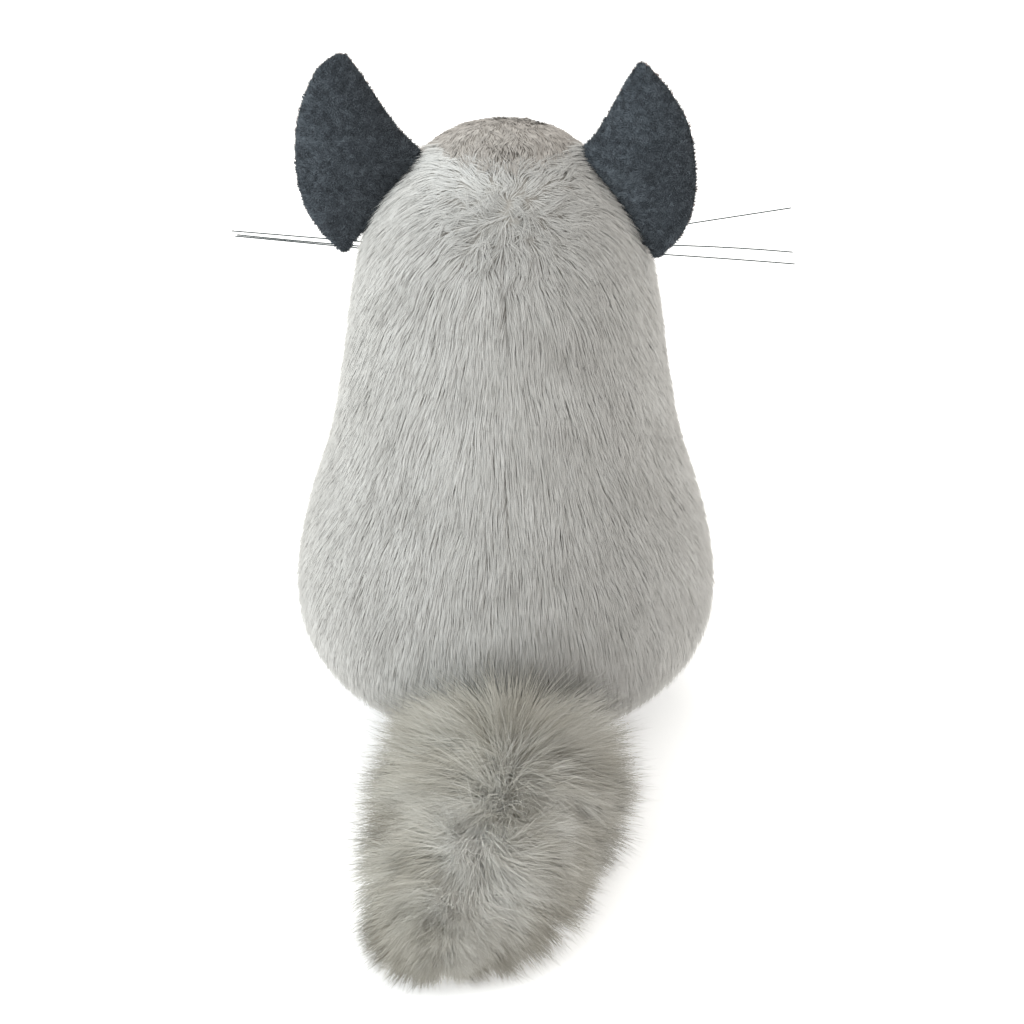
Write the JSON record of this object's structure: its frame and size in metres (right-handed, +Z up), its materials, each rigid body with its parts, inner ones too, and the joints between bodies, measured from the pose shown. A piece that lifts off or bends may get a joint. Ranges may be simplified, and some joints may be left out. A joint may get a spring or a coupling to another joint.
{
  "type": "plush chinchilla",
  "caption": "Plush chinchilla that sits upright, with a pear-shaped short-pile body, dark folding ears, thread whiskers and a long-pile tail that swings and lifts.",
  "frame": {"origin": "middle of the flat base, on the table", "axes": "+Z up, the toy faces -Y and its tail lies along +Y, its left side is +X"},
  "size_m": [0.1971, 0.2653, 0.2348],
  "materials": {
    "pile": "matte",
    "crown_pile": "matte",
    "belly_pile": "matte",
    "tail_pile": "matte",
    "ear_fleece": "matte",
    "ear_lining": "matte",
    "foot_velour": "matte",
    "fibrefill": "matte",
    "pellet_bag": "matte",
    "thread": "satin",
    "nose_thread": "satin",
    "eye": "gloss",
    "washer": "matte",
    "whisker": "satin"
  },
  "bodies": {
    "body": {"base_panel": "pile", "belly_panel": "belly_pile", "back_left_panel": "pile", "back_right_panel": "pile", "face_left_panel": "pile", "face_right_panel": "pile", "crown_panel": "crown_pile", "body_fibrefill": "fibrefill", "head_fibrefill": "fibrefill", "pellet_bag": "pellet_bag", "muzzle": "belly_pile", "nose": "nose_thread", "mouth_stitch": "thread", "left_eye": "eye", "right_eye": "eye", "left_eye_washer": "washer", "right_eye_washer": "washer"},
    "left_ear": {"left_ear_back": "ear_fleece", "left_ear_lining": "ear_lining"},
    "right_ear": {"right_ear_back": "ear_fleece", "right_ear_lining": "ear_lining"},
    "left_whiskers": {"left_whisker_upper": "whisker", "left_whisker_middle": "whisker", "left_whisker_lower": "whisker"},
    "right_whiskers": {"right_whisker_upper": "whisker", "right_whisker_middle": "whisker", "right_whisker_lower": "whisker"},
    "left_paw": {"left_paw_cover": "pile", "left_paw_fill": "fibrefill"},
    "right_paw": {"right_paw_cover": "pile", "right_paw_fill": "fibrefill"},
    "left_foot": {"left_foot_cover": "foot_velour", "left_foot_fill": "fibrefill"},
    "right_foot": {"right_foot_cover": "foot_velour", "right_foot_fill": "fibrefill"},
    "tail_root": {"tail_neck": "pile"},
    "tail": {"tail_cover": "tail_pile", "tail_core": "fibrefill"}
  },
  "joints": [
    {"name": "left_ear_fold", "type": "hinge", "parent": "body", "child": "left_ear", "pos_m": [0.0522, -0.006, 0.1654], "axis": [-0.5806, -0.0291, 0.8137], "range_deg": [-32, 32], "stiffness_Nm_per_rad": 0.02},
    {"name": "right_ear_fold", "type": "hinge", "parent": "body", "child": "right_ear", "pos_m": [-0.0514, 0.0036, 0.1686], "axis": [0.5813, -0.2907, 0.76], "range_deg": [-30, 35], "stiffness_Nm_per_rad": 0.02},
    {"name": "left_whisker_sweep", "type": "hinge", "parent": "body", "child": "left_whiskers", "pos_m": [0.0235, -0.061, 0.138], "axis": [0, 0, 1], "range_deg": [-20, 20], "stiffness_Nm_per_rad": 0.0005},
    {"name": "right_whisker_sweep", "type": "hinge", "parent": "body", "child": "right_whiskers", "pos_m": [-0.0235, -0.061, 0.1405], "axis": [0, 0, 1], "range_deg": [-20, 20], "stiffness_Nm_per_rad": 0.0005},
    {"name": "left_paw_swing", "type": "hinge", "parent": "body", "child": "left_paw", "pos_m": [0.034, -0.0615, 0.101], "axis": [1, 0, 0], "range_deg": [-60, 15], "stiffness_Nm_per_rad": 0.02},
    {"name": "right_paw_swing", "type": "hinge", "parent": "body", "child": "right_paw", "pos_m": [-0.034, -0.0615, 0.101], "axis": [1, 0, 0], "range_deg": [-60, 15], "stiffness_Nm_per_rad": 0.02},
    {"name": "left_foot_lift", "type": "hinge", "parent": "body", "child": "left_foot", "pos_m": [0.03, -0.0615, 0.008], "axis": [-1, 0, 0], "range_deg": [0, 28]},
    {"name": "right_foot_lift", "type": "hinge", "parent": "body", "child": "right_foot", "pos_m": [-0.03, -0.0615, 0.008], "axis": [-1, 0, 0], "range_deg": [0, 28]},
    {"name": "tail_swing", "type": "hinge", "parent": "body", "child": "tail_root", "pos_m": [0, 0.071, 0.02], "axis": [0, 0, 1], "range_deg": [-25, 25]},
    {"name": "tail_lift", "type": "hinge", "parent": "tail_root", "child": "tail", "pos_m": [0, 0.071, 0.02], "axis": [1, 0, 0], "range_deg": [0, 38]}
  ]
}
